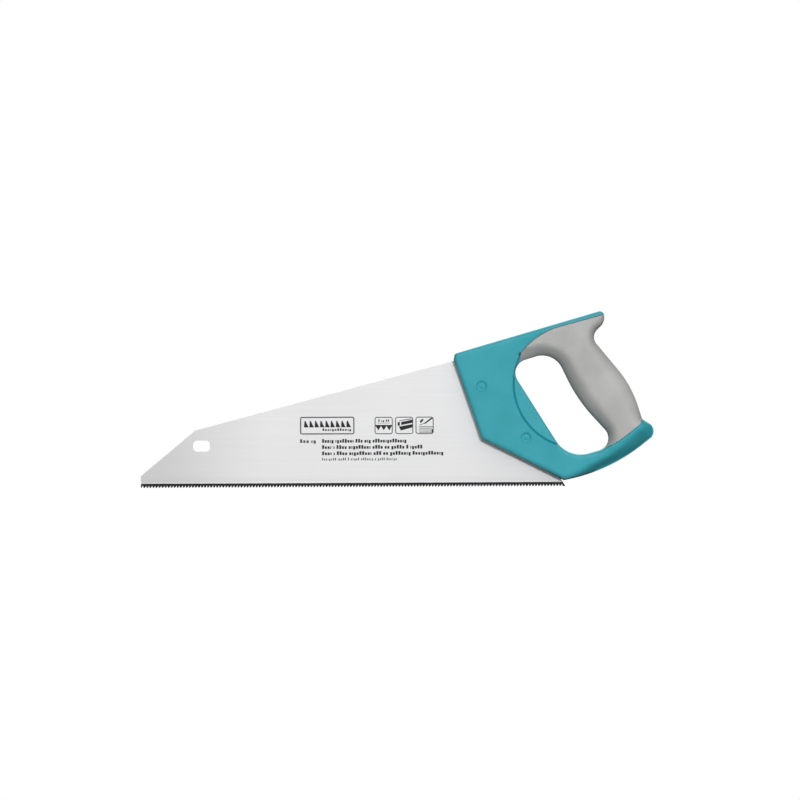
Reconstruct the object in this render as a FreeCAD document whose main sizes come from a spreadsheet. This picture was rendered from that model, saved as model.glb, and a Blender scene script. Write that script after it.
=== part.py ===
import FreeCAD, Part
import math
import os

import Sketcher

# A short fixed-blade hand saw: a toothed steel blade held in a closed plastic handle with a soft grip.
# Drawing frame: x runs from the toe of the blade to the heel, z from the tooth tips to the back.
# The blade lies in the plane y = 0. Every body is then shifted so that the origin is inside the grip.

V = FreeCAD.Vector

# How near to a plane an edge counts as lying in it, in mm, and the least that a cut may remove, in mm3.
FLAT = 0.001
LEAST_CUT = 0.01

# Driving dimensions in millimetres.
SIZES = {
    # Frame: the point in the middle of the grip that a hand closes round.
    "grip_x": 380.0,
    "grip_z": 80.0,
    # Blade.
    "blade_thick": 0.9,
    "tooth_pitch": 2.5,
    "tooth_depth": 1.9,
    "tooth_rake": 0.5,
    "tooth_facet_run": 0.8,
    "tooth_facet_rise": 0.5,
    "gullet_flat": 0.35,
    "gullet_below": 0.2,
    "tooth_lean": 0.45,
    "gullet_pairs": 70,
    "hang_x": 50.1,
    "hang_z": 34.3,
    "hang_long": 14.0,
    "hang_high": 9.2,
    "hang_round": 3.6,
    # Handle moulding.
    "cheek_wide": 21.0,
    "edge_round": 1.8,
    "spine_wide": 20.0,
    "slot_gap": 0.1,
    "slot_below": 5.0,
    "overcut": 1.0,
    "recess_x": 359.8,
    "recess_z": 84.0,
    "recess_round": 53.5,
    "recess_deep": 2.6,
    "recess_top": 108.0,
    "recess_low": 32.3,
    "lock_round": 4.0,
    # Soft grip.
    "grip_wide": 29.0,
    "grip_round": 7.5,
    # Blade bolts: the head seats are measured out from the middle of the blade.
    "front_bolt_x": 280.9,
    "front_bolt_z": 82.7,
    "rear_bolt_x": 317.2,
    "rear_bolt_z": 40.0,
    "bore_radius": 3.0,
    "seat_radius": 4.55,
    "seat_from": 5.9,
    "head_radius": 4.1,
    "head_thick": 1.6,
    "barrel_radius": 2.9,
    "barrel_wall": 0.9,
    "barrel_reach": 5.0,
    "shank_radius": 1.98,
    "shank_reach": 4.5,
    "shank_spare": 0.5,
    "key_flats": 2.5,
    "key_deep": 1.0,
    "plug_radius": 4.5,
    "plug_dish": 0.6,
    "plug_rim": 0.5,
    "nub_radius": 1.3,
    "nub_high": 0.35,
}

# Corners of the outlines, each as x, z and the radius that rounds it.
CORNERS = {
    # Blade, clockwise from the toe.
    "toe_tip": (0.0, 0.0, 0.0),
    "toe_end": (0.0, 9.8, 0.6),
    "nose": (44.9, 47.1, 1.0),
    "tang": (281.0, 109.5, 3.0),
    "blade_heel": (349.6, 0.0, 0.0),
    # Handle outside, clockwise from the front of its top edge.
    "front_top": (259.0, 109.4, 2.2),
    "horn_top": (382.0, 144.9, 3.4),
    "horn_under": (382.0, 134.3, 9.3),
    "neck": (370.8, 123.0, 8.4),
    "grip_back": (404.2, 82.5, 90.0),
    "arm_step": (413.0, 54.9, 1.0),
    "arm_tip": (427.8, 45.4, 7.5),
    "arm_belly": (387.2, 13.4, 145.0),
    "heel": (348.4, 4.7, 2.2),
    "chin": (280.6, 38.8, 2.2),
    "front_lip": (257.9, 104.5, 3.0),
    # Hand hole, clockwise from its upper front corner.
    "hole_shoulder": (302.8, 99.7, 11.2),
    "hole_crown": (340.4, 111.3, 18.0),
    "hole_belly": (359.7, 71.1, 130.0),
    "hole_lower": (393.7, 33.9, 10.5),
    "hole_floor": (351.7, 21.8, 24.0),
    # Seam round the grip. The zone corners lie clear of the handle.
    "seam_horn": (392.0, 143.6, 0.0),
    "zone_back": (418.3, 70.8, 0.0),
    "seam_step": (411.6, 50.7, 3.0),
    "seam_arm": (387.6, 31.3, 75.0),
    "seam_end": (367.5, 26.7, 0.0),
    "zone_hole": (345.0, 70.0, 0.0),
    "seam_notch": (310.9, 98.5, 0.0),
    "seam_shoulder": (311.7, 108.3, 1.5),
    "seam_bend": (329.3, 126.8, 60.0),
    # The grip stops short of the cheek beside the hand hole, and joins the seam's slope above it.
    "grip_notch": (312.0, 98.5, 0.0),
    "grip_notch_top": (312.8, 107.8, 0.0),
    "grip_shoulder": (313.46, 110.15, 0.0),
    # Spine of the moulding under the grip.
    "spine_root": (306.0, 105.6, 0.0),
    "spine_cheek": (306.0, 114.0, 0.0),
    "spine_rise": (330.0, 129.5, 0.0),
    "spine_horn": (366.0, 139.2, 0.0),
    "spine_neck": (366.0, 123.5, 10.0),
    "spine_back": (399.7, 80.3, 80.0),
    "spine_foot": (406.5, 44.0, 0.0),
    "spine_arm": (393.0, 33.0, 0.0),
    "spine_belly": (365.3, 73.3, 125.0),
    "spine_crown": (343.0, 117.0, 23.0),
    # Soft grip before it is trimmed at the seam: it runs past the seam at both ends.
    "blank_corner": (297.0, 155.0, 0.0),
    "blank_horn": (382.0, 155.0, 0.0),
    "blank_foot": (434.5, -10.0, 0.0),
    "blank_under": (335.0, -10.0, 0.0),
    "blank_floor": (340.0, 18.4, 0.0),
    "blank_front": (297.0, 97.6, 0.0),
    # Centres of the holes in the spine that the soft grip flows through.
    "lock_upper": (347.0, 122.0, 0.0),
    "lock_middle": (367.0, 100.0, 0.0),
    "lock_lower": (387.0, 66.0, 0.0),
}

BLADE = ["toe_tip", "toe_end", "nose", "tang", "blade_heel"]
OUTSIDE = ["front_top", "horn_top", "horn_under", "neck", "grip_back",
           "arm_step", "arm_tip", "arm_belly", "heel", "chin", "front_lip"]
HAND_HOLE = ["hole_shoulder", "hole_crown", "hole_belly", "hole_lower", "hole_floor"]
GRIP_ZONE = ["seam_horn", "zone_back", "seam_step", "seam_arm", "seam_end",
             "zone_hole", "seam_notch", "seam_shoulder", "seam_bend"]
GRIP_TRIM = ["seam_horn", "zone_back", "seam_step", "seam_arm", "seam_end",
             "zone_hole", "grip_notch", "grip_notch_top", "grip_shoulder", "seam_bend"]
SPINE = ["spine_root", "spine_cheek", "spine_rise", "spine_horn", "spine_neck",
         "spine_back", "spine_foot", "spine_arm", "spine_belly", "spine_crown"]
GRIP_BLANK = ["blank_corner", "blank_horn", "horn_under", "neck", "grip_back",
              "blank_foot", "blank_under", "blank_floor", "hole_lower", "hole_belly",
              "hole_crown", "blank_front"]

doc = FreeCAD.newDocument("hand_saw")


# Sheet of driving dimensions.

def fill_sheet():
    """Write every dimension to a row of the sheet, under its own name."""
    page = doc.addObject("Spreadsheet::Sheet", "dims")
    rows = dict(SIZES)
    for name, (x, z, radius) in CORNERS.items():
        rows[name + "_x"] = x
        rows[name + "_z"] = z
        if radius:
            rows[name + "_fillet"] = radius
    for number, (name, value) in enumerate(rows.items(), start=1):
        page.set("A%d" % number, name)
        page.set("B%d" % number, str(value))
        page.setAlias("B%d" % number, name)
    doc.recompute()
    return page


dims = fill_sheet()


def size(name):
    """The number that the sheet holds under this name."""
    return float(dims.get(name))


# Sketch helpers.

def new_body(name):
    """A body whose drawing frame is shifted so that the grip's middle is the origin."""
    body = doc.addObject("PartDesign::Body", name)
    body.Label = name
    body.setExpression("Placement.Base.x", "-dims.grip_x")
    body.setExpression("Placement.Base.z", "-dims.grip_z")
    return body


def origin_plane(body, role):
    """One of the body's own planes."""
    return [item for item in body.Origin.OriginFeatures if item.Role == role][0]


def new_sketch(body, name, role="XZ_Plane", offset=None):
    """A sketch on one of the body's own planes, moved off it by an expression if one is given."""
    sketch = body.newObject("Sketcher::SketchObject", name)
    sketch.AttachmentSupport = [(origin_plane(body, role), "")]
    sketch.MapMode = "FlatFace"
    if offset:
        sketch.setExpression("AttachmentOffset.Base.z", offset)
    return sketch


def bind(sketch, kind, target, value, formula):
    """Add a dimension with its starting value, then let an expression on the sheet drive it."""
    number = sketch.addConstraint(Sketcher.Constraint(kind, *target, value))
    sketch.setExpression("Constraints[%d]" % number, formula)


def pin_point(sketch, geometry, position, x, z, x_formula, z_formula):
    """Fix one point of a curve by its two coordinates."""
    bind(sketch, "DistanceX", (geometry, position), x, x_formula)
    bind(sketch, "DistanceY", (geometry, position), z, z_formula)


def corner_arc(before, here, after, radius):
    """The arc that rounds a corner, with its entry and exit points and which end each is."""
    arriving = (here - before).normalize()
    leaving = (after - here).normalize()
    side = arriving.cross(leaving).z
    turn = arriving.getAngle(leaving)
    reach = radius * math.tan(turn / 2.0)
    entry = here - arriving * reach
    exit_point = here + leaving * reach
    inward = V(-arriving.y, arriving.x, 0) * math.copysign(1.0, side)
    centre = entry + inward * radius
    first = entry if side > 0 else exit_point
    last = exit_point if side > 0 else entry
    angles = [math.atan2(point.y - centre.y, point.x - centre.x) for point in (first, last)]
    arc = Part.ArcOfCircle(Part.Circle(centre, V(0, 0, 1), radius), angles[0], angles[1])
    ends = (1, 2) if side > 0 else (2, 1)
    return arc, entry, exit_point, ends


def draw_outline(sketch, names):
    """A closed outline of straight sides whose corners are rounded by tangent arcs."""
    points = [V(size(name + "_x"), size(name + "_z"), 0) for name in names]
    radii = [CORNERS[name][2] for name in names]
    count = len(names)
    arcs = {}
    entries = list(points)
    exits = list(points)
    ends = {}
    for here in range(count):
        if radii[here]:
            shaped = corner_arc(points[here - 1], points[here], points[(here + 1) % count], radii[here])
            arcs[here] = sketch.addGeometry(shaped[0])
            entries[here] = shaped[1]
            exits[here] = shaped[2]
            ends[here] = shaped[3]
    sides = []
    for here in range(count):
        sides.append(sketch.addGeometry(Part.LineSegment(exits[here], entries[(here + 1) % count])))
    for here, name in enumerate(names):
        arriving = sides[here - 1]
        leaving = sides[here]
        x_formula = "dims.%s_x" % name
        z_formula = "dims.%s_z" % name
        if here not in arcs:
            sketch.addConstraint(Sketcher.Constraint("Coincident", arriving, 2, leaving, 1))
            pin_point(sketch, leaving, 1, points[here].x, points[here].y, x_formula, z_formula)
            continue
        corner = sketch.addGeometry(Part.Point(points[here]), True)
        pin_point(sketch, corner, 1, points[here].x, points[here].y, x_formula, z_formula)
        sketch.addConstraint(Sketcher.Constraint("PointOnObject", corner, 1, arriving))
        sketch.addConstraint(Sketcher.Constraint("PointOnObject", corner, 1, leaving))
        sketch.addConstraint(Sketcher.Constraint("Tangent", arriving, 2, arcs[here], ends[here][0]))
        sketch.addConstraint(Sketcher.Constraint("Tangent", arcs[here], ends[here][1], leaving, 1))
        bind(sketch, "Radius", (arcs[here],), radii[here], "dims.%s_fillet" % name)


def draw_circle(sketch, x_name, z_name, radius_name, extra=""):
    """A circle whose centre and radius come from the sheet."""
    x = size(x_name)
    z = size(z_name)
    radius = size(radius_name)
    ring = sketch.addGeometry(Part.Circle(V(x, z, 0), V(0, 0, 1), radius))
    pin_point(sketch, ring, 3, x, z, "dims." + x_name, "dims." + z_name)
    bind(sketch, "Radius", (ring,), radius, "dims." + radius_name + extra)


def draw_steps(sketch, points, formulas):
    """A closed outline of straight sides, every corner pinned by a pair of expressions."""
    count = len(points)
    for here in range(count):
        start = V(points[here][0], points[here][1], 0)
        stop = V(points[(here + 1) % count][0], points[(here + 1) % count][1], 0)
        sketch.addGeometry(Part.LineSegment(start, stop))
    for here in range(count):
        sketch.addConstraint(Sketcher.Constraint("Coincident", (here - 1) % count, 2, here, 1))
        for kind, value, formula in zip(("DistanceX", "DistanceY"), points[here], formulas[here]):
            if value == 0:
                sketch.addConstraint(Sketcher.Constraint(kind, here, 1, 0.0))
            else:
                bind(sketch, kind, (here, 1), value, formula)


# Feature helpers.

def pad(body, sketch, name, width):
    """Thicken a sketch equally to both sides of the blade's plane."""
    feature = body.newObject("PartDesign::Pad", name)
    feature.Profile = sketch
    feature.SideType = "Symmetric"
    feature.setExpression("Length", width)
    return feature


def pocket_through(body, sketch, name):
    """Cut a sketch right through the body, to both sides of the blade's plane."""
    feature = body.newObject("PartDesign::Pocket", name)
    feature.Profile = sketch
    feature.SideType = "Symmetric"
    feature.Type = "ThroughAll"
    return feature


def pocket_outward(body, sketch, name):
    """Cut from a sketch that stands off the blade's plane out through the near face."""
    feature = body.newObject("PartDesign::Pocket", name)
    feature.Profile = sketch
    feature.Type = "ThroughAll"
    feature.Reversed = True
    return feature


def round_rim(body, blank, name, half, radius):
    """Round every edge that lies in one of the two outer faces of a pad."""
    doc.recompute()
    rim = []
    for number, edge in enumerate(blank.Shape.Edges, start=1):
        box = edge.BoundBox
        if box.YLength < FLAT and abs(abs(box.YMin) - half) < FLAT:
            rim.append("Edge%d" % number)
    soften = body.newObject("PartDesign::Fillet", name)
    soften.Base = (blank, rim)
    soften.setExpression("Radius", radius)
    doc.recompute()
    return soften


def checked_volume(feature, before, name):
    """Rebuild, and stop if a cut removed nothing."""
    doc.recompute()
    after = feature.Shape.Volume
    if after >= before - LEAST_CUT:
        raise RuntimeError("%s cut nothing" % name)
    return after


# Blade.

def make_blade():
    """The steel plate with its hang hole, two bolt holes and the filed teeth."""
    body = new_body("blade")
    plate = new_sketch(body, "blade_outline")
    draw_outline(plate, BLADE)
    blank = pad(body, plate, "blade_plate", "dims.blade_thick")
    doc.recompute()
    volume = blank.Shape.Volume

    openings = new_sketch(body, "blade_openings")
    draw_circle(openings, "front_bolt_x", "front_bolt_z", "bore_radius", " + dims.slot_gap")
    draw_circle(openings, "rear_bolt_x", "rear_bolt_z", "bore_radius", " + dims.slot_gap")
    draw_hang_hole(openings)
    volume = checked_volume(pocket_through(body, openings, "blade_holes"), volume, "blade_holes")

    # Neighbouring gullets are filed at opposite slants, so the points fall on alternate faces.
    # The second row stops one short, which leaves the solid corner at the heel.
    for order, lean in enumerate((1, -1)):
        name = "gullet_%d" % (order + 1)
        notch = new_sketch(body, name)
        draw_gullet(notch, order)
        cut = pocket_through(body, notch, name + "_cut")
        cut.UseCustomVector = True
        cut.Direction = V(lean * size("tooth_lean"), 1, 0)
        volume = checked_volume(cut, volume, name)
        row = body.newObject("PartDesign::LinearPattern", name + "_row")
        row.Originals = [cut]
        row.Direction = (notch, ["H_Axis"])
        row.setExpression("Length", "2 * dims.tooth_pitch * (dims.gullet_pairs - 1 - %d)" % order)
        row.setExpression("Occurrences", "dims.gullet_pairs - %d" % order)
        body.Tip = row
        volume = checked_volume(row, volume, name + "_row")
    return body


def draw_hang_hole(sketch):
    """A rounded oblong, longer along the saw."""
    x = size("hang_x")
    z = size("hang_z")
    half = size("hang_long") / 2.0
    high = size("hang_high") / 2.0
    radius = size("hang_round")
    signs = [(-1, 1), (1, 1), (1, -1), (-1, -1)]
    points = [V(x + a * half, z + b * high, 0) for a, b in signs]
    first = sketch.GeometryCount
    shaped = [corner_arc(points[i - 1], points[i], points[(i + 1) % 4], radius) for i in range(4)]
    for item in shaped:
        sketch.addGeometry(item[0])
    for i in range(4):
        sketch.addGeometry(Part.LineSegment(shaped[i][2], shaped[(i + 1) % 4][1]))
    for i in range(4):
        arc = first + i
        leaving = first + 4 + i
        arriving = first + 4 + (i - 1) % 4
        sketch.addConstraint(Sketcher.Constraint("Tangent", arriving, 2, arc, 2))
        sketch.addConstraint(Sketcher.Constraint("Tangent", arc, 1, leaving, 1))
        bind(sketch, "Radius", (arc,), radius, "dims.hang_round")
    a, b = signs[1]
    centre = [x + a * (half - radius), z + b * (high - radius)]
    pin_point(sketch, first + 1, 3, centre[0], centre[1],
              "dims.hang_x + dims.hang_long / 2 - dims.hang_round",
              "dims.hang_z + dims.hang_high / 2 - dims.hang_round")
    pin_point(sketch, first + 3, 3, 2 * x - centre[0], 2 * z - centre[1],
              "dims.hang_x - dims.hang_long / 2 + dims.hang_round",
              "dims.hang_z - dims.hang_high / 2 + dims.hang_round")
    sketch.addConstraint(Sketcher.Constraint("Horizontal", first + 4))
    sketch.addConstraint(Sketcher.Constraint("Vertical", first + 5))


def draw_gullet(sketch, order):
    """The gap between two tooth points: a short facet, a slope, a flat root and a steep front face.

    The first and last points lie a little below the tooth points, in line with their sides, so that
    the cut leaves no sliver.
    """
    pitch = size("tooth_pitch")
    depth = size("tooth_depth")
    rake = size("tooth_rake")
    run = size("tooth_facet_run")
    rise = size("tooth_facet_rise")
    below = size("gullet_below")
    start = pitch * order
    points = [
        (start - below * run / rise, -below),
        (start + run, rise),
        (start + pitch - rake - size("gullet_flat"), depth),
        (start + pitch - rake, depth),
        (start + pitch + below * rake / depth, -below),
    ]
    begin = "%d * dims.tooth_pitch" % order
    formulas = [
        (begin + " - dims.gullet_below * dims.tooth_facet_run / dims.tooth_facet_rise", "-dims.gullet_below"),
        (begin + " + dims.tooth_facet_run", "dims.tooth_facet_rise"),
        (begin + " + dims.tooth_pitch - dims.tooth_rake - dims.gullet_flat", "dims.tooth_depth"),
        (begin + " + dims.tooth_pitch - dims.tooth_rake", "dims.tooth_depth"),
        (begin + " + dims.tooth_pitch + dims.gullet_below * dims.tooth_rake / dims.tooth_depth",
         "-dims.gullet_below"),
    ]
    draw_steps(sketch, points, formulas)


# Handle moulding.

def make_handle_core():
    """The hard plastic moulding: cheeks, blade slot, arm, horn strip and the spine under the grip."""
    body = new_body("handle_core")
    profile = new_sketch(body, "handle_outline")
    draw_outline(profile, OUTSIDE)
    draw_outline(profile, HAND_HOLE)
    blank = pad(body, profile, "handle_blank", "dims.cheek_wide")
    soften = round_rim(body, blank, "handle_edges", size("cheek_wide") / 2.0, "dims.edge_round")
    volume = soften.Shape.Volume

    zone = new_sketch(body, "grip_zone")
    draw_outline(zone, GRIP_ZONE)
    volume = checked_volume(pocket_through(body, zone, "grip_gap"), volume, "grip_gap")

    hollow = new_sketch(body, "thumb_hollow", offset="dims.cheek_wide / 2 - dims.recess_deep")
    draw_hollow(hollow)
    hollow_cut = pocket_outward(body, hollow, "thumb_hollow_cut")
    volume = checked_volume(hollow_cut, volume, "thumb_hollow")

    seats = new_sketch(body, "plug_seats", offset="dims.seat_from")
    draw_circle(seats, "front_bolt_x", "front_bolt_z", "seat_radius")
    draw_circle(seats, "rear_bolt_x", "rear_bolt_z", "seat_radius")
    seats_cut = pocket_outward(body, seats, "plug_seats_cut")
    volume = checked_volume(seats_cut, volume, "plug_seats")

    both = body.newObject("PartDesign::Mirrored", "other_side")
    both.Originals = [hollow_cut, seats_cut]
    both.MirrorPlane = (origin_plane(body, "XZ_Plane"), [""])
    body.Tip = both
    volume = checked_volume(both, volume, "other_side")

    bores = new_sketch(body, "bolt_bores")
    draw_circle(bores, "front_bolt_x", "front_bolt_z", "bore_radius")
    draw_circle(bores, "rear_bolt_x", "rear_bolt_z", "bore_radius")
    volume = checked_volume(pocket_through(body, bores, "bolt_bores_cut"), volume, "bolt_bores")

    spine = new_sketch(body, "spine_outline")
    draw_outline(spine, SPINE)
    pad(body, spine, "spine", "dims.spine_wide")
    doc.recompute()

    locks = new_sketch(body, "lock_holes")
    for name in ("lock_upper", "lock_middle", "lock_lower"):
        draw_circle(locks, name + "_x", name + "_z", "lock_round")
    locked = pocket_through(body, locks, "lock_holes_cut")
    doc.recompute()
    volume = locked.Shape.Volume

    slot = new_sketch(body, "blade_slot")
    draw_slot(slot)
    cut = body.newObject("PartDesign::Pocket", "blade_slot_cut")
    cut.Profile = slot
    cut.SideType = "Symmetric"
    cut.setExpression("Length", "dims.blade_thick + 2 * dims.slot_gap")
    checked_volume(cut, volume, "blade_slot")
    return body


def draw_hollow(sketch):
    """The hollow beside the hand hole: an arc closed by a straight side that runs inside the hole."""
    centre = V(size("recess_x"), size("recess_z"), 0)
    radius = size("recess_round")
    ends = []
    for name in ("recess_top", "recess_low"):
        rise = size(name) - centre.y
        ends.append(V(centre.x - math.sqrt(radius ** 2 - rise ** 2), size(name), 0))
    angles = [math.atan2(point.y - centre.y, point.x - centre.x) for point in ends]
    arc = Part.ArcOfCircle(Part.Circle(centre, V(0, 0, 1), radius), angles[0], angles[1] + 2 * math.pi)
    sketch.addGeometry(arc)
    sketch.addGeometry(Part.LineSegment(ends[0], ends[1]))
    sketch.addConstraint(Sketcher.Constraint("Coincident", 0, 1, 1, 1))
    sketch.addConstraint(Sketcher.Constraint("Coincident", 0, 2, 1, 2))
    pin_point(sketch, 0, 3, centre.x, centre.y, "dims.recess_x", "dims.recess_z")
    bind(sketch, "Radius", (0,), radius, "dims.recess_round")
    bind(sketch, "DistanceY", (0, 1), ends[0].y, "dims.recess_top")
    bind(sketch, "DistanceY", (0, 2), ends[1].y, "dims.recess_low")


def draw_slot(sketch):
    """The blade's place in the handle: its tang and rear edge, open to the front and below."""
    gap = size("slot_gap")
    names = ["nose", "tang", "blade_heel", "toe_tip"]
    below = size("slot_below")
    shifts = [(0, gap), (gap, gap), (gap, -below), (0, -below)]
    right_text = ["", " + dims.slot_gap", " + dims.slot_gap", ""]
    up_text = [" + dims.slot_gap", " + dims.slot_gap", " - dims.slot_below", " - dims.slot_below"]
    points = []
    formulas = []
    for name, (right, up), right_more, up_more in zip(names, shifts, right_text, up_text):
        points.append((size(name + "_x") + right, size(name + "_z") + up))
        formulas.append(("dims.%s_x%s" % (name, right_more), "dims.%s_z%s" % (name, up_more)))
    draw_steps(sketch, points, formulas)


# Soft grip.

def make_soft_grip(core):
    """The rubber-like sleeve moulded round the spine: trimmed at the seam, hollow where the spine is."""
    body = new_body("grip_blank")
    profile = new_sketch(body, "grip_blank_outline")
    draw_outline(profile, GRIP_BLANK)
    blank = pad(body, profile, "grip_blank_pad", "dims.grip_wide")
    round_rim(body, blank, "grip_edges", size("grip_wide") / 2.0, "dims.grip_round")

    trim = new_body("grip_trim")
    outline = new_sketch(trim, "grip_trim_outline")
    draw_outline(outline, GRIP_TRIM)
    pad(trim, outline, "grip_trim_pad", "dims.grip_wide + 2 * dims.overcut")

    trimmed = doc.addObject("Part::Common", "grip_trimmed")
    trimmed.Base = body
    trimmed.Tool = trim
    sleeve = doc.addObject("Part::Cut", "soft_grip")
    sleeve.Label = "soft_grip"
    sleeve.Base = trimmed
    sleeve.Tool = core
    doc.recompute()
    return sleeve


# Blade bolts and their plugs.

def bolt_body(name, place):
    """A body that stands on the axis of the front or the rear bolt."""
    body = doc.addObject("PartDesign::Body", name)
    body.Label = name
    body.setExpression("Placement.Base.x", "dims.%s_bolt_x - dims.grip_x" % place)
    body.setExpression("Placement.Base.z", "dims.%s_bolt_z - dims.grip_z" % place)
    return body


def revolve(body, name, points, formulas):
    """Turn a stepped half-section about the bolt's axis."""
    section = new_sketch(body, name + "_section", role="XY_Plane")
    draw_steps(section, points, formulas)
    turned = body.newObject("PartDesign::Revolution", name + "_turned")
    turned.Profile = section
    turned.ReferenceAxis = (section, ["V_Axis"])
    turned.Angle = 360
    doc.recompute()
    return turned


def key_socket(body, name, face, reversed_cut):
    """The hexagonal socket in a bolt's head, for a key."""
    before = body.Shape.Volume
    sketch = new_sketch(body, name + "_socket", offset=face)
    radius = size("key_flats") / math.sqrt(3.0)
    corners = [V(radius * math.cos(k * math.pi / 3), radius * math.sin(k * math.pi / 3), 0) for k in range(6)]
    ring = sketch.addGeometry(Part.Circle(V(0, 0, 0), V(0, 0, 1), radius), True)
    sketch.addConstraint(Sketcher.Constraint("Coincident", ring, 3, -1, 1))
    bind(sketch, "Radius", (ring,), radius, "dims.key_flats / sqrt(3)")
    sides = [sketch.addGeometry(Part.LineSegment(corners[k], corners[(k + 1) % 6])) for k in range(6)]
    for k in range(6):
        sketch.addConstraint(Sketcher.Constraint("Coincident", sides[k - 1], 2, sides[k], 1))
        sketch.addConstraint(Sketcher.Constraint("PointOnObject", sides[k], 1, ring))
    for k in range(5):
        sketch.addConstraint(Sketcher.Constraint("Equal", sides[k], sides[k + 1]))
    sketch.addConstraint(Sketcher.Constraint("PointOnObject", sides[0], 1, -1))
    cut = body.newObject("PartDesign::Pocket", name + "_socket_cut")
    cut.Profile = sketch
    cut.Reversed = reversed_cut
    cut.setExpression("Length", "dims.key_deep")
    checked_volume(cut, before, name + "_socket")


def make_screw(place):
    """The screw of one bolt: its head under the left plug, its shank inside the sleeve nut."""
    name = place + "_screw"
    body = bolt_body(name, place)
    head = size("head_radius")
    shank = size("shank_radius")
    seat = -size("seat_from")
    top = seat - size("head_thick")
    end = size("shank_reach")
    points = [(0, top), (head, top), (head, seat), (shank, seat), (shank, end), (0, end)]
    top_text = "-dims.seat_from - dims.head_thick"
    formulas = [
        ("", top_text),
        ("dims.head_radius", top_text),
        ("dims.head_radius", "-dims.seat_from"),
        ("dims.shank_radius", "-dims.seat_from"),
        ("dims.shank_radius", "dims.shank_reach"),
        ("", "dims.shank_reach"),
    ]
    revolve(body, name, points, formulas)
    key_socket(body, name, "dims.seat_from + dims.head_thick", False)
    return body


def make_sleeve_nut(place):
    """The sleeve nut of one bolt: a flanged barrel through the blade, its head under the right plug."""
    name = place + "_sleeve_nut"
    body = bolt_body(name, place)
    head = size("head_radius")
    barrel = size("barrel_radius")
    bore = barrel - size("barrel_wall")
    seat = size("seat_from")
    top = seat + size("head_thick")
    mouth = -size("barrel_reach")
    floor = size("shank_reach") + size("shank_spare")
    points = [(0, floor), (bore, floor), (bore, mouth), (barrel, mouth),
              (barrel, seat), (head, seat), (head, top), (0, top)]
    bore_text = "dims.barrel_radius - dims.barrel_wall"
    top_text = "dims.seat_from + dims.head_thick"
    floor_text = "dims.shank_reach + dims.shank_spare"
    formulas = [
        ("", floor_text),
        (bore_text, floor_text),
        (bore_text, "-dims.barrel_reach"),
        ("dims.barrel_radius", "-dims.barrel_reach"),
        ("dims.barrel_radius", "dims.seat_from"),
        ("dims.head_radius", "dims.seat_from"),
        ("dims.head_radius", top_text),
        ("", top_text),
    ]
    revolve(body, name, points, formulas)
    key_socket(body, name, "-dims.seat_from - dims.head_thick", True)
    return body


def make_plug(place, side, sign):
    """A round plug over a bolt head: flush at its rim, dished inside it, with a small nub."""
    name = "%s_%s_plug" % (side, place)
    body = bolt_body(name, place)
    face = size("cheek_wide") / 2.0
    inner = size("seat_from") + size("head_thick")
    rim = size("plug_radius")
    dish = rim - size("plug_rim")
    floor = face - size("plug_dish")
    nub = size("nub_radius")
    crown = floor + size("nub_high")
    levels = [(0, inner), (rim, inner), (rim, face), (dish, face),
              (dish, floor), (nub, floor), (nub, crown), (0, crown)]
    points = [(radius, sign * level) for radius, level in levels]
    mark = "-" if sign < 0 else ""
    inner_text = mark + "(dims.seat_from + dims.head_thick)"
    face_text = mark + "(dims.cheek_wide / 2)"
    floor_text = mark + "(dims.cheek_wide / 2 - dims.plug_dish)"
    crown_text = mark + "(dims.cheek_wide / 2 - dims.plug_dish + dims.nub_high)"
    dish_text = "dims.plug_radius - dims.plug_rim"
    formulas = [
        ("", inner_text),
        ("dims.plug_radius", inner_text),
        ("dims.plug_radius", face_text),
        (dish_text, face_text),
        (dish_text, floor_text),
        ("dims.nub_radius", floor_text),
        ("dims.nub_radius", crown_text),
        ("", crown_text),
    ]
    revolve(body, name, points, formulas)
    return body


def build():
    """Make every sub-part of the saw."""
    core = make_handle_core()
    parts = [make_blade(), core, make_soft_grip(core)]
    for place in ("front", "rear"):
        parts.append(make_screw(place))
        parts.append(make_sleeve_nut(place))
        parts.append(make_plug(place, "left", -1))
        parts.append(make_plug(place, "right", 1))
    doc.recompute()
    return parts


def check(parts):
    """Stop if any feature failed or any sub-part is not one valid solid."""
    for item in doc.Objects:
        if "Invalid" in item.State or "Error" in item.State:
            raise RuntimeError("%s failed: %s" % (item.Name, item.State))
    for part in parts:
        if part.Shape.isNull() or not part.Shape.isValid():
            raise RuntimeError("%s is not a valid shape" % part.Label)
        if len(part.Shape.Solids) != 1:
            raise RuntimeError("%s has %d solids" % (part.Label, len(part.Shape.Solids)))


def export(parts):
    """Write each sub-part to its own STEP file."""
    os.makedirs("parts", exist_ok=True)
    for part in parts:
        part.Shape.exportStep("parts/%s.step" % part.Label)
        box = part.Shape.BoundBox
        print("%-18s %7.1f x %5.1f x %6.1f mm  %9.1f mm3" % (
            part.Label, box.XLength, box.YLength, box.ZLength, part.Shape.Volume))


parts = build()
check(parts)
export(parts)
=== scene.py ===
# %% [markdown]
# # A short hand saw
# This lesson dresses a CAD model of a hand saw. The CAD gives every piece its place and size.
# Blender gives the blade its ground steel, and remodels the handle as soft moulded shapes.
# Everything is in metres, and the saw's grip is at the origin: toe to -X, back to +Z, printed side
# to -Y.

# %% Load the frame
import math

import bpy
import numpy as np
from numpy.linalg import norm
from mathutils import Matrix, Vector
from mathutils.geometry import delaunay_2d_cdt


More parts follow.
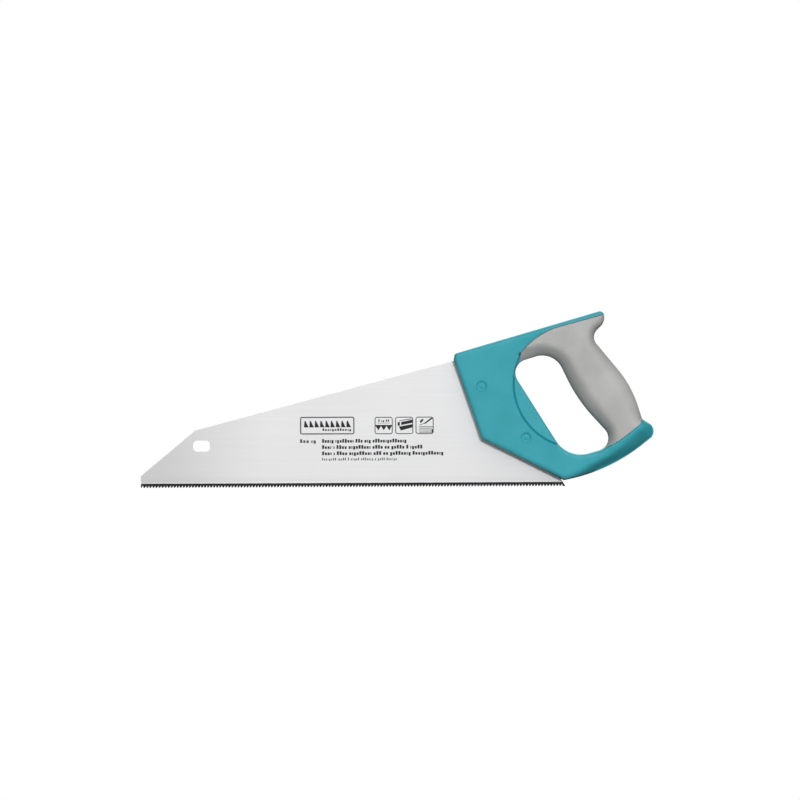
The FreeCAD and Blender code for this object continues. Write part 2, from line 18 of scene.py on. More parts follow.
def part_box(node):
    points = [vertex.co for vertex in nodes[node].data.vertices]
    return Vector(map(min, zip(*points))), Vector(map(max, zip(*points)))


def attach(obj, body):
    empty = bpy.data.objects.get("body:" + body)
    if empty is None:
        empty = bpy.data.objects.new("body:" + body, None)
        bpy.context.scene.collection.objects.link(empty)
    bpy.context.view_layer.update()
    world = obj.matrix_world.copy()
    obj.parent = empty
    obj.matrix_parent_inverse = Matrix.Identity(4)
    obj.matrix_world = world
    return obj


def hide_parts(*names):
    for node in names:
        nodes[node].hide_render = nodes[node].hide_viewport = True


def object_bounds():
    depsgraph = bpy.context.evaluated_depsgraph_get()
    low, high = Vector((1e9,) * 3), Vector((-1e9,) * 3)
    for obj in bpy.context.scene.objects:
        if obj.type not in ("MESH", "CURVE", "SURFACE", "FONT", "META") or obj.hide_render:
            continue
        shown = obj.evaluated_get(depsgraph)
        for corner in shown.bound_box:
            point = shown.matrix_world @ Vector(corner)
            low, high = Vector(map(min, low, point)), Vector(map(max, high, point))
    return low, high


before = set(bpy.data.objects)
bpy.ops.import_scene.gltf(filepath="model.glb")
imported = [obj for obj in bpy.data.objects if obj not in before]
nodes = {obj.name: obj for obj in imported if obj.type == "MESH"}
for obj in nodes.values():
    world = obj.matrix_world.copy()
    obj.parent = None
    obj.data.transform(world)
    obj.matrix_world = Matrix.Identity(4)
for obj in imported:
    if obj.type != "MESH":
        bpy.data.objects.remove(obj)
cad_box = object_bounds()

MM = 0.001
saw_low, saw_high = (Vector(corner) for corner in cad_box)
blade_low, blade_high = (Vector(corner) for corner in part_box("blade"))
core_high, sleeve_high = (Vector(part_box(node)[1]) for node in ("handle_core", "soft_grip"))
print("the saw is", [round((b - a) / MM, 1) for a, b in zip(saw_low, saw_high)], "mm")

# %% [markdown]
# ## Drawing coordinates
# The handle is easiest to draw in the maker's own coordinates: x in millimetres from the toe of the
# blade, z in millimetres above the tooth points. Two numbers read from the blade's box tie that
# drawing to the frame.

# %% From the drawing to the frame
def place(x, z, y=0.0):
    """A point of the drawing, in millimetres, as a point of the frame, in metres."""
    return (blade_low.x + x * MM, y * MM, blade_low.z + z * MM)


def blend(low, high, value):
    """A smooth step from 0 at low to 1 at high."""
    share = np.clip((value - low) / (high - low), 0.0, 1.0)
    return share * share * (3.0 - 2.0 * share)


print("toe of the blade at", [round(v, 4) for v in place(0, 0)])

# %% [markdown]
# ## Camera
# A saw is shown square on, so that its outline is true. A long lens from far away keeps the
# perspective flat, and the camera is turned a fraction of a degree, because the saw hangs very
# slightly out of level.

# %% Camera
VIEW_WIDTH = 658.8 * MM
VIEW_CENTRE = place(213.7, 71.5)
VIEW_DISTANCE = 6.0
SENSOR_WIDTH = 36.0
ROLL = math.radians(0.28)

camera = bpy.data.objects.new("camera", bpy.data.cameras.new("camera"))
bpy.context.scene.collection.objects.link(camera)
bpy.context.scene.camera = camera
camera.data.sensor_width = SENSOR_WIDTH
camera.data.lens = SENSOR_WIDTH * VIEW_DISTANCE / VIEW_WIDTH
camera.data.clip_end = 100.0
camera.location = (VIEW_CENTRE[0], -VIEW_DISTANCE, VIEW_CENTRE[2])
camera.rotation_euler = (math.radians(90.0), ROLL, 0.0)
bpy.context.scene.view_settings.view_transform = "Standard"
print("lens", round(camera.data.lens, 1), "mm")

# %% [markdown]
# ## Stage
# The floor is a large pale disc well below the saw, so no hard shadow falls near it. A light tent
# does the rest: the world is bright above and in front, and darker below, which is what shapes the
# rounded handle.

# %% Floor
FLOOR_DROP = 0.35
FLOOR_RADIUS = 9.0
FLOOR_SIDES = 64


def mesh_object(name, points, faces, smooth=True):
    """A new mesh object from points in metres and faces that list their corners."""
    mesh = bpy.data.meshes.new(name)
    mesh.from_pydata([tuple(point) for point in points], [], [tuple(face) for face in faces])
    mesh.validate()
    mesh.polygons.foreach_set("use_smooth", [smooth] * len(mesh.polygons))
    mesh.update()
    piece = bpy.data.objects.new(name, mesh)
    bpy.context.scene.collection.objects.link(piece)
    return piece


def ring_edges(first, count):
    """The edges that close a ring of points."""
    return [(first + k, first + (k + 1) % count) for k in range(count)]


def prism_faces(first, count):
    """A prism's faces: its near corners run anticlockwise from number first, then its far ones."""
    near = tuple(range(first, first + count))
    sides = [(b, a, a + count, b + count) for a, b in ring_edges(first, count)]
    return [near, tuple(k + count for k in near[::-1])] + sides


def floor_disc():
    """A flat round floor."""
    level = saw_low.z - FLOOR_DROP
    points = [(0.0, 0.0, level)]
    for turn in range(FLOOR_SIDES):
        angle = 2 * math.pi * turn / FLOOR_SIDES
        points.append((FLOOR_RADIUS * math.cos(angle), FLOOR_RADIUS * math.sin(angle), level))
    faces = [(0, a, b) for a, b in ring_edges(1, FLOOR_SIDES)]
    return mesh_object("floor", points, faces, smooth=False)


floor = floor_disc()
print("floor", FLOOR_DROP, "m below the teeth")


# %% [markdown]
# ## Node helpers
# Every finish in this lesson is a small node tree round one Principled shader, and the world and
# the floor are small node trees too. Nodes could be wired by hand in the editor; in code, these
# helpers add and link the few nodes that all the trees share, so that each finish below reads as a
# short recipe.

# %% Node helpers
class NodeTree:
    """An empty node tree and short ways to add to it."""

    def __init__(self, owner):
        owner.use_nodes = True
        self.tree = owner.node_tree
        self.tree.nodes.clear()

    def add(self, kind, **settings):
        """A new node with some of its settings and sockets filled in."""
        node = self.tree.nodes.new(kind)
        for name, value in settings.items():
            if name in node.inputs:
                node.inputs[name].default_value = value
            else:
                setattr(node, name, value)
        return node

    def join(self, output, target):
        """Link one socket to another."""
        self.tree.links.new(output, target)

    def fill(self, sockets, values):
        """Give each socket a link or a plain value."""
        for socket, value in zip(sockets, values):
            if isinstance(value, bpy.types.NodeSocket):
                self.join(value, socket)
            else:
                socket.default_value = value

    def maths(self, operation, *values):
        """Arithmetic on sockets or plain numbers."""
        node = self.add("ShaderNodeMath", operation=operation)
        self.fill(node.inputs, values)
        return node.outputs["Value"]

    def ramp(self, source, stops, smooth=True):
        """A colour ramp whose stops are places with a grey value or a colour."""
        node = self.add("ShaderNodeValToRGB")
        node.color_ramp.interpolation = "EASE" if smooth else "LINEAR"
        points = node.color_ramp.elements
        while len(points) < len(stops):
            points.new(0.5)
        for point, (position, colour) in zip(points, stops):
            point.position = position
            point.color = (*(colour if isinstance(colour, tuple) else (colour,) * 3), 1.0)
        self.join(source, node.inputs["Fac"])
        return node.outputs["Color"]

    def split_by_ray(self, seen, unseen, output):
        """Send one shader to the camera's own rays and another to all other rays."""
        pick = self.add("ShaderNodeMixShader")
        is_seen = self.add("ShaderNodeLightPath").outputs["Is Camera Ray"]
        self.fill(pick.inputs, (is_seen, unseen.outputs[0], seen.outputs[0]))
        self.join(pick.outputs["Shader"], self.add(output).inputs["Surface"])


class Finish(NodeTree):
    """A material round one Principled shader."""

    def __init__(self, name, metal=0.0, gloss=0.5):
        self.material = bpy.data.materials.new(name)
        super().__init__(self.material)
        self.shader = self.add("ShaderNodeBsdfPrincipled", Metallic=metal)
        self.shader.inputs["Specular IOR Level"].default_value = gloss
        output = self.add("ShaderNodeOutputMaterial")
        self.join(self.shader.outputs["BSDF"], output.inputs["Surface"])
        self.where = self.add("ShaderNodeTexCoord").outputs["Object"]

    def stretched(self, x, y, z):
        """The object's coordinates, multiplied along each axis."""
        node = self.add("ShaderNodeMapping", Scale=(x, y, z))
        self.join(self.where, node.inputs["Vector"])
        return node.outputs["Vector"]

    def noise(self, per_metre, detail=2.0, rough=0.5, where=None):
        """Noise with this many lumps to a metre."""
        node = self.add("ShaderNodeTexNoise", Scale=per_metre, Detail=detail, Roughness=rough)
        self.join(where or self.where, node.inputs["Vector"])
        return node.outputs["Fac"]

    def times(self, first, second):
        """Two colours multiplied."""
        node = self.add("ShaderNodeMix", data_type="RGBA", blend_type="MULTIPLY")
        self.fill((node.inputs["Factor"], node.inputs[6], node.inputs[7]), (1.0, first, second))
        return node.outputs[2]

    def scaled(self, source, low, high, new_low, new_high):
        """A number moved from one range to another, held at the ends."""
        node = self.add("ShaderNodeMapRange")
        self.fill(node.inputs, (source, low, high, new_low, new_high))
        return node.outputs["Result"]

    def bump(self, source, height, strength):
        """Relief of this height in metres."""
        node = self.add("ShaderNodeBump", Strength=strength, Distance=height)
        self.join(source, node.inputs["Height"])
        return node.outputs["Normal"]

    def tones(self, source, low, high, dark, light):
        """Two close tones, each reached at its own level of a noise."""
        return self.ramp(source, ((low, screen(*dark)), (high, screen(*light))))

    def finish(self, colour, rough, relief=None):
        """Send colour, roughness and relief to the shader, and give the material."""
        for name, source in (("Base Color", colour), ("Roughness", rough), ("Normal", relief)):
            if source is not None:
                self.join(source, self.shader.inputs[name])
        return self.material


def screen(red, green, blue):
    """A colour given as screen values from 0 to 255, in the linear units that shaders use."""
    def linear(value):
        share = value / 255.0
        return share / 12.92 if share <= 0.04045 else ((share + 0.055) / 1.055) ** 2.4
    return tuple(linear(value) for value in (red, green, blue))


print("white is", screen(255, 255, 255))

# %% [markdown]
# ## Light
# Almost all the light is one very large soft source in front, above and to the right of the saw. It
# is part of the world, as a glow that fades with the angle from its middle, so it has no edges to
# show in the steel. Surfaces that turn down or to the left fall into shade, which is what shows how
# round the handle is. A second glow behind the saw lights its other side in the same way, and can't
# reach the side that faces the camera.

# %% World
KEY_WAY = Vector((0.14, -0.86, 0.49)).normalized()
# How bright the world is at each cosine of the angle from the middle of the key light.
KEY_FADE = ((0.0, 0.02), (0.40, 0.05), (0.62, 0.26), (0.82, 0.78), (1.0, 1.02))
BACK_WAY = Vector((-0.14, 0.86, 0.49)).normalized()
BACK_FADE = ((0.50, 0.0), (0.66, 0.22), (0.84, 0.74), (1.0, 0.95))


def soft_glow(tent, direction, way, fade):
    """Nodes for a glow round one direction, as a grey value."""
    turn = tent.add("ShaderNodeVectorMath", operation="DOT_PRODUCT")
    tent.fill(turn.inputs, (direction, way))
    brightest = max(value for _, value in fade)
    stops = [(cosine, value / brightest) for cosine, value in fade]
    return tent.maths("MULTIPLY", tent.ramp(turn.outputs["Value"], stops, smooth=False), brightest)


def light_tent():
    """White to the camera; to everything else, the two glows."""
    world = bpy.data.worlds.new("tent")
    bpy.context.scene.world = world
    tent = NodeTree(world)
    where = tent.add("ShaderNodeTexCoord").outputs["Generated"]
    key = soft_glow(tent, where, KEY_WAY, KEY_FADE)
    back = soft_glow(tent, where, BACK_WAY, BACK_FADE)
    glows = tent.add("ShaderNodeBackground")
    tent.join(tent.maths("ADD", key, back), glows.inputs["Color"])
    plain = tent.add("ShaderNodeBackground", Color=(1.0, 1.0, 1.0, 1.0))
    tent.split_by_ray(plain, glows, "ShaderNodeOutputWorld")


light_tent()
print("key light from", [round(v, 2) for v in KEY_WAY])


# %% [markdown]
# A glow all round gives no shadows, so a lamp almost square to each side of the saw adds them. It
# is small enough to leave a fine dark line where the handle stands off the blade, and hidden from
# mirror-like rays, so it makes no hot spot.

# %% Lamps
LAMP_WAY = Vector((0.15, -0.96, 0.22)).normalized()
LAMP_AWAY = 2.4
LAMP_SIZE = 0.25
LAMP_WATTS = 37.0
handle_middle = Vector(place(340, 75))


def soft_lamp(name, facing):
    """A square lamp that faces the handle: facing is 1 for the front and -1 for behind."""
    lamp = bpy.data.objects.new(name, bpy.data.lights.new(name, "AREA"))
    lamp.data.shape = "SQUARE"
    lamp.data.size = LAMP_SIZE
    lamp.data.energy = LAMP_WATTS
    way = Vector((LAMP_WAY.x * facing, LAMP_WAY.y * facing, LAMP_WAY.z))
    lamp.location = handle_middle + way * LAMP_AWAY
    lamp.rotation_euler = (handle_middle - lamp.location).to_track_quat("-Z", "Y").to_euler()
    lamp.visible_glossy = False
    bpy.context.scene.collection.objects.link(lamp)


soft_lamp("key_lamp", 1.0)
soft_lamp("back_lamp", -1.0)
print("one lamp in front and one behind")

# %% [markdown]
# The floor is only there to bounce a little light. A camera ray finds it plain white, like the
# tent, and every other ray finds a dim grey, so it doesn't fill the shade under the handle.

# %% Floor finish
FLOOR_GREY = 0.1


def floor_paint():
    """Plain white as the camera sees it, and a dim grey as a reflector."""
    material = bpy.data.materials.new("floor_paint")
    paint = NodeTree(material)
    matt = paint.add("ShaderNodeBsdfDiffuse", Color=(FLOOR_GREY, FLOOR_GREY, FLOOR_GREY, 1.0))
    pale = paint.add("ShaderNodeEmission")
    paint.split_by_ray(pale, matt, "ShaderNodeOutputMaterial")
    return material


floor.data.materials.append(floor_paint())
print("floor painted")

# %% [markdown]
# ## The handle's outlines
# The handle is one closed loop with a hand hole. Its outline is a few straight or slightly bowed
# sides, so it is drawn as corners joined by straight lines, each corner rounded by its own radius.
# A big radius makes a long gentle bow, such as the palm side of the grip. The same idea draws the
# seam where the grey grip starts.

# %% Corners of the handle
STEP = 0.7
# Each corner: x, z and radius, in the drawing's millimetres.
CORNERS = {
    "front_top": (259.0, 109.4, 2.2), "horn_top": (382.0, 144.9, 3.4),
    "horn_under": (382.0, 134.3, 9.3), "neck": (370.8, 123.0, 8.4),
    "grip_back": (404.2, 82.5, 90.0), "arm_step": (413.0, 54.9, 1.0),
    "arm_tip": (427.8, 45.4, 7.5), "arm_belly": (387.2, 13.4, 145.0),
    "heel": (348.4, 4.7, 2.2), "chin": (280.6, 38.8, 2.2),
    "front_lip": (257.9, 104.5, 3.0), "hole_shoulder": (302.8, 99.7, 11.2),
    "hole_crown": (340.4, 111.3, 18.0), "hole_belly": (359.7, 71.1, 130.0),
    "hole_lower": (393.7, 33.9, 10.5), "hole_floor": (351.7, 21.8, 24.0),
    "seam_horn": (392.0, 143.6, 0.0), "zone_back": (418.3, 70.8, 0.0),
    "seam_step": (411.6, 50.7, 3.0), "seam_arm": (387.6, 31.3, 75.0),
    "seam_end": (367.5, 26.7, 0.0), "zone_hole": (345.0, 70.0, 0.0),
    "seam_notch": (310.9, 98.5, 0.0), "seam_shoulder": (311.7, 108.3, 1.5),
    "seam_bend": (329.3, 126.8, 60.0), "grip_notch": (312.0, 98.5, 0.0),
    "grip_notch_top": (312.8, 107.8, 0.0), "grip_shoulder": (313.46, 110.15, 0.0),
}
OUTSIDE = ["front_top", "horn_top", "horn_under", "neck", "grip_back",
           "arm_step", "arm_tip", "arm_belly", "heel", "chin", "front_lip"]
HAND_HOLE = ["hole_shoulder", "hole_crown", "hole_belly", "hole_lower", "hole_floor"]
# The seam and the sleeve's own end part only at the notch.
SEAM_LOOP = ["seam_horn", "zone_back", "seam_step", "seam_arm", "seam_end", "zone_hole"]
SEAM = SEAM_LOOP + ["seam_notch", "seam_shoulder", "seam_bend"]
SLEEVE_END = SEAM_LOOP + ["grip_notch", "grip_notch_top", "grip_shoulder", "seam_bend"]


def stepped(start, stop):
    """Evenly spaced points after a start, up to and with a stop."""
    pieces = max(1, round(norm(stop - start) / STEP))
    return [start + (stop - start) * part / pieces for part in range(1, pieces + 1)]


def trace(names):
    """Points along a closed outline, and each one's place on it: 2.0 is the middle of corner 2."""
    spots = [np.array(CORNERS[name][:2]) for name in names]
    count = len(names)
    arcs = []
    for here in range(count):
        corner, radius = spots[here], CORNERS[names[here]][2]
        arriving = corner - spots[here - 1]
        leaving = spots[(here + 1) % count] - corner
        arriving, leaving = (way / norm(way) for way in (arriving, leaving))
        if radius == 0:
            arcs.append([corner])
            continue
        side = math.copysign(1.0, arriving[0] * leaving[1] - arriving[1] * leaving[0])
        turn = math.acos(np.clip(arriving @ leaving, -1, 1))
        entry = corner - arriving * radius * math.tan(turn / 2)
        centre = entry + side * radius * np.array([-arriving[1], arriving[0]])
        begin = math.atan2(entry[1] - centre[1], entry[0] - centre[0])
        pieces = 2 * max(2, round(radius * turn / STEP / 2))
        angles = begin + side * turn * np.arange(pieces + 1) / pieces
        arcs.append([centre + radius * np.array([math.cos(a), math.sin(a)]) for a in angles])
    points, middles = [], []
    for here in range(count):
        middles.append(len(points) + len(arcs[here]) // 2)
        points += arcs[here]
        points += stepped(arcs[here][-1], arcs[(here + 1) % count][0])[:-1]
    points = np.array(points)
    run = np.cumsum(norm(points - np.roll(points, 1, axis=0), axis=1))
    marks = np.append(run[middles], run[-1] + run[middles[0]])
    places = np.interp(np.where(run < marks[0], run + run[-1], run), marks, np.arange(count + 1))
    return points, places


outside, outside_place = trace(OUTSIDE)
hand_hole, hand_hole_place = trace(HAND_HOLE)
seam, _ = trace(SEAM)
sleeve_end, _ = trace(SLEEVE_END)
print("outline", len(outside), "points; hand hole", len(hand_hole))


# %% Distances and insides
# How many points are compared with a line at once, which keeps the tables in memory small.
CHUNK = 2000


def gap_to(points, line, closed=True):
    """Each point's distance to a line of straight pieces."""
    starts = line if closed else line[:-1]
    ways = (np.roll(line, -1, axis=0) if closed else line[1:]) - starts
    lengths = np.maximum((ways ** 2).sum(1), 1e-12)
    nearest = np.empty(len(points))
    for first in range(0, len(points), CHUNK):
        away = points[first:first + CHUNK, None, :] - starts[None]
        share = np.clip((away * ways).sum(2) / lengths, 0.0, 1.0)
        off = away - share[..., None] * ways
        nearest[first:first + CHUNK] = np.sqrt((off ** 2).sum(2).min(1))
    return nearest


def is_inside(points, line):
    """True for each point that a closed line goes round."""
    x, z = points[:, 0], points[:, 1]
    result = np.zeros(len(points), bool)
    for (x1, z1), (x2, z2) in zip(line, np.roll(line, -1, axis=0)):
        if z1 != z2:
            crosses = (z1 > z) != (z2 > z)
            result ^= crosses & (x < (x2 - x1) * (z - z1) / (z2 - z1) + x1)
    return result


def in_handle(points):
    """True inside the handle's outline and outside its hand hole."""
    return is_inside(points, outside) & ~is_inside(points, hand_hole)


middle_gap = gap_to(np.array([[380.0, 80.0]]), outside)
print("the grip's middle is", middle_gap.round(1), "mm from the palm side")

# %% [markdown]
# ## How thick the handle is
# Seen from the side the handle is flat; its roundness is all in how thick it is from place to
# place. So the thickness is a field: a number at every point of the side view. Away from the edges
# it is the full width, which swells from the flat cheeks to the grip. Towards an edge it falls in a
# quarter of an ellipse, whose reach and drop depend on the nearest part of the outline: a crisp
# edge on the cheeks, a full round on the grip. Sculpting could make the same shape by hand, but a
# field keeps both sides alike and every size in view.

# %% Edge shapes
CHEEK_HALF = core_high.y / MM
SLEEVE_PROUD = 0.5
SLEEVE_CLEAR = 0.2
GRIP_HALF = sleeve_high.y / MM - SLEEVE_CLEAR - SLEEVE_PROUD
# The swelling starts and ends this far behind the front side of the hand hole.
SWELL = (5.0, 60.0)
FULL = 20.0
# For each corner: how far in the rounding reaches and how deep it drops, in millimetres, and where
# it is given, how much of it is a flat bevel instead of a round: the underside of the arm is
# bevelled.
CORE_EDGES = {
    "front_top": (1.7, 1.5), "horn_top": (2.2, 2.2), "horn_under": (3.5, 3.5),
    "neck": (4.0, 4.0), "grip_back": (6.0, 6.0), "arm_step": (6.5, 7.0, 0.5),
    "arm_tip": (14.0, 13.3, 0.9), "arm_belly": (9.0, 12.0, 1.0), "heel": (2.2, 2.0, 0.5),
    "chin": (1.9, 1.7), "front_lip": (1.7, 1.5),
    "hole_shoulder": (0.9, 0.9), "hole_crown": (1.2, 1.2), "hole_belly": (3.0, 3.0),
    "hole_lower": (3.0, 3.0), "hole_floor": (1.2, 1.2),
}
SLEEVE_EDGES = {
    "front_top": (2.0, 2.0), "horn_top": (3.0, 3.0), "horn_under": (7.0, 9.0),
    "neck": (9.0, FULL), "grip_back": (14.0, FULL, 0.25), "arm_step": (11.0, FULL),
    "arm_tip": (9.0, FULL), "hole_shoulder": (15.0, 11.5, 0.7),
    "hole_crown": (11.0, 11.5, 0.5), "hole_belly": (12.0, 11.5, 0.5),
    "hole_lower": (9.0, 11.5, 0.4), "hole_floor": (8.0, 11.5, 0.4),
}
OTHER_EDGES = (8.0, 8.0)
# A moulded wall leans a little, so that it leaves its mould: it is this far in when it reaches the
# rounding.
DRAFT = 0.6
WALL_FOOT = 1.0
THIN_EDGE = 0.35
BEVEL_POWER = 1.5
# The distance to the edge is exact beside it, and further in it is a smoothed one, which has no
# creases: it sums the pull of every edge point, which fades with this power of the distance.
PULL_POWER = 5
EXACT_WITHIN, SMOOTH_BEYOND = 1.0, 3.0


def edge_values(names, places, edges):
    """The reach, drop and bevel at each point of an outline, blended between its corners."""
    table = np.array([(edges.get(name, OTHER_EDGES) + (0.0,))[:3] for name in names])
    here = np.floor(places).astype(int) % len(names)
    share = blend(0.0, 1.0, places - np.floor(places))[:, None]
    return table[here] * (1 - share) + table[(here + 1) % len(names)] * share


def swell(points):
    """Half of the handle's full width: flat at the cheeks, and thicker beyond them."""
    low = np.array(CORNERS["hole_floor"][:2])
    high = np.array(CORNERS["hole_shoulder"][:2])
    along = (high - low) / norm(high - low)
    across = np.array([along[1], -along[0]])
    return CHEEK_HALF + (GRIP_HALF - CHEEK_HALF) * blend(*SWELL, (points - low) @ across)


def half_width(points, edges, extra, draft):
    """Half the handle's thickness at each point, rounded off towards the edges."""
    rims = [(outside, outside_place, OUTSIDE), (hand_hole, hand_hole_place, HAND_HOLE)]
    rim = np.concatenate([line for line, _, _ in rims])
    steps = np.concatenate([np.roll(line, -1, axis=0) - line for line, _, _ in rims])
    runs = norm(steps, axis=1)
    values = np.concatenate([edge_values(names, places, edges) for _, places, names in rims])
    straight = math.sqrt(math.pi) * math.gamma(PULL_POWER / 2) / math.gamma((PULL_POWER + 1) / 2)
    exact = np.minimum(gap_to(points, outside), gap_to(points, hand_hole))
    smooth = np.empty(len(points))
    shape = np.empty((len(points), 3))
    for first in range(0, len(points), CHUNK):
        some = slice(first, first + CHUNK)
        away = np.sqrt(((points[some, None, :] - rim[None]) ** 2).sum(2)) + 0.05
        pull = runs / away ** (PULL_POWER + 1)
        total = pull.sum(1)
        smooth[some] = (total / straight) ** (-1.0 / PULL_POWER)
        shape[some] = (pull @ values) / total[:, None]
    share = blend(EXACT_WITHIN, SMOOTH_BEYOND, exact)
    gap = exact * (1 - share) + smooth * share
    full = swell(points) + extra
    reach = shape[:, 0]
    drop = np.minimum(shape[:, 1], full - THIN_EDGE)
    inward = np.clip((gap - draft) / reach, 0.0, 1.0)
    round_fall = 1.0 - np.sqrt(1.0 - (1.0 - inward) ** 2)
    bevel_fall = (1.0 - inward) ** BEVEL_POWER
    rounded = full - drop * (round_fall + (bevel_fall - round_fall) * shape[:, 2])
    if draft == 0:
        return rounded
    wall_top = np.maximum(full - drop, WALL_FOOT)
    leaning = WALL_FOOT + (wall_top - WALL_FOOT) * np.clip(gap / draft, 0.0, 1.0)
    return np.where(gap < draft, leaning, np.maximum(rounded, WALL_FOOT))


print("half widths", CHEEK_HALF, "to", round(GRIP_HALF, 1), "mm")

# %% [markdown]
# ## Filling the outlines with points
# A smooth surface needs small faces where it turns quickly and larger ones where it is flat. Rows
# of points are laid beside every outline and seam, close together at first and then wider apart,
# and a plain grid fills the rest. A constrained triangulation then joins them and keeps every
# outline and seam as real edges.

# %% Rows of points
# The cheeks have a shallow hollow for the thumb. Its edge is part of a circle, which stops at a top
# level and at a right-hand limit. Inward from the edge come a wall, a fine groove, and a floor that
# gets slowly deeper towards the hand hole.
HOLLOW = {"centre": np.array([359.8, 84.0]), "radius": 53.5, "top": 108.0, "right": 352.0,
          "deep": 1.5, "slope": 0.075, "wall": 0.75, "groove": 1.5, "groove_end": 1.9}
HOLLOW_ROWS = (0.0, 0.15, 0.35, 0.55, 0.75, 1.0, 1.3, 1.6, 1.9, 2.4)
BOLTS = {"front": np.array([280.9, 82.7]), "rear": np.array([317.2, 40.0])}
PLUG_SEAT, SEAT_SIDES = 4.55, 57
CORE_ROWS = (0.6, 0.68, 0.9, 1.25, 1.7, 2.2, 2.9, 3.8, 4.9, 6.0, 7.0, 8.0, 9.0, 10.2, 11.6, 13.8)
SLEEVE_ROWS = (0.1, 0.36, 0.8, 1.35, 2.0, 2.9, 4.0, 5.3, 6.8, 8.5, 10.4, 12.4, 14.6, 17.0)
SEAM_ROWS = (0.1, 0.25, 0.5, 0.9, 1.5)
# Points in a row stand a share of the row's distance apart, plus the least and up to the most.
ROW_SHARE, ROW_LEAST, ROW_MOST = 0.42, 0.1, 1.6
GRID_PITCH, GRID_ROOM = 2.4, 1.5
CELL = 0.5


def beside(line, distance):
    """A row of points at a distance to the left of a closed line."""
    along = np.roll(line, -1, axis=0) - np.roll(line, 1, axis=0)
    length = np.maximum(norm(along, axis=1), 1e-9)
    return line + distance * np.stack([-along[:, 1], along[:, 0]], axis=1) / length[:, None]


def circle(centre, radius, sides):
    """Points evenly round a circle."""
    angles = 2 * math.pi * np.arange(sides) / sides
    return centre + radius * np.stack([np.cos(angles), np.sin(angles)], axis=1)


def thinned(points, room, kept):
    """The points that have this much room to those already kept and to each other."""
    grid = {}
    for x, z in np.array(kept).tolist():
        grid.setdefault((int(x // CELL), int(z // CELL)), []).append((x, z))
    reach = int(room // CELL) + 1
    result = []
    for x, z in points.tolist():
        i, j = int(x // CELL), int(z // CELL)
        near = (other for a in range(i - reach, i + reach + 1)
                for b in range(j - reach, j + reach + 1) for other in grid.get((a, b), ()))
        if all((x - u) ** 2 + (z - v) ** 2 >= room * room for u, v in near):
            grid.setdefault((i, j), []).append((x, z))
            result.append(np.array([x, z]))
    return result


def divided(corners):
    """Points along an open line of straight pieces."""
    points = [np.array(corners[0])]
    for start, stop in zip(np.array(corners[:-1]), np.array(corners[1:])):
        points += stepped(start, stop)
    return np.array(points)


def fill_points(lines, open_lines, rows):
    """Rows beside each line, then a grid: everything inside the handle that keeps its distance."""
    kept = [point for line in lines + open_lines for point in line]
    for line, distances in rows:
        for distance in distances:
            for side in (1, -1):
                row = beside(line, side * distance)
                row = row[in_handle(row)]
                clear = np.ones(len(row), bool)
                for number, other in enumerate(lines + open_lines):
                    room = 0.8 * min(distance, 1.0) if other is line else min(0.8 * distance, 0.5)
                    clear &= gap_to(row, other, number < len(lines)) > room
                kept += thinned(row[clear], min(ROW_SHARE * distance + ROW_LEAST, ROW_MOST), kept)
    low, high = outside.min(0), outside.max(0)
    columns = np.arange(low[0], high[0], GRID_PITCH)
    levels = np.arange(low[1], high[1], GRID_PITCH * math.sqrt(3) / 2)
    grid = np.array([(x + GRID_PITCH / 2 * (k % 2), z)
                     for k, z in enumerate(levels) for x in columns])
    return kept + thinned(grid[in_handle(grid)], GRID_ROOM, kept)


def hollow_line(depth):
    """A line inside the hollow, this far in from its edge, where it crosses the handle."""
    radius = HOLLOW["radius"] - depth
    line = circle(HOLLOW["centre"], radius, round(2 * math.pi * radius / STEP))
    line = line[(line[:, 0] < HOLLOW["right"]) & (line[:, 1] < HOLLOW["top"] + 1)]
    return line[in_handle(line)]


hollow_lines = [hollow_line(depth) for depth in HOLLOW_ROWS]
plug_rims = [circle(spot, PLUG_SEAT, SEAT_SIDES) for spot in BOLTS.values()]
print("hollow edge", len(hollow_lines[0]), "points")


# %% Triangles
def triangulate(lines, open_lines, rows):
    """Triangles over the whole side view, with every line kept as edges."""
    edges = []
    first = 0
    for number, line in enumerate(lines + open_lines):
        count = len(line)
        edges += ring_edges(first, count)[:count if number < len(lines) else -1]
        first += count
    everything = [Vector(point) for point in fill_points(lines, open_lines, rows)]
    made = delaunay_2d_cdt(everything, edges, [], 0, 1e-4)
    return np.array([tuple(point) for point in made[0]]), np.array(made[2])


# The sleeve's front end stands a little behind the seam, over a notch: a line and, just beside it,
# its foot.
NOTCH = ("seam_notch", "seam_shoulder", "grip_shoulder")
notch_line = divided([CORNERS[name][:2] for name in NOTCH])
notch_foot = notch_line + np.array([0.1, -0.03])
borders = [outside, hand_hole, sleeve_end]
core_rows, sleeve_rows = ([(outside, rows), (hand_hole, rows), (sleeve_end, SEAM_ROWS)]
                          for rows in (CORE_ROWS, SLEEVE_ROWS))
core_plan = triangulate(borders + plug_rims, hollow_lines + [notch_line, notch_foot], core_rows)
sleeve_plan = triangulate(borders, [], sleeve_rows)
print("core", len(core_plan[0]), "points; sleeve", len(sleeve_plan[0]), "points")

# %% [markdown]
# ## Raising the surfaces
# Each moulding is one part of the side view. Its triangles are copied to both sides at the field's
# height, and the two copies are joined by walls along every border. Beside the seam the edge of
# both mouldings turns down by a millimetre or so, in a tight round, which leaves the fine dark line
# that such a joint has. The plugs' seats are round pockets in both cheeks, so their rims get walls
# and a floor of their own.

# %% Closed shells
# Beside the seam: how far from it the edge starts to turn down, and how deep it goes, in
# millimetres.
CORE_TURN = (0.5, 1.5)
SLEEVE_TURN = (0.9, 1.0)
# Half widths of the notch's floor and of the floors of the plug seats.
NOTCH_HALF = 2.5
SEAT_FLOOR = 7.4


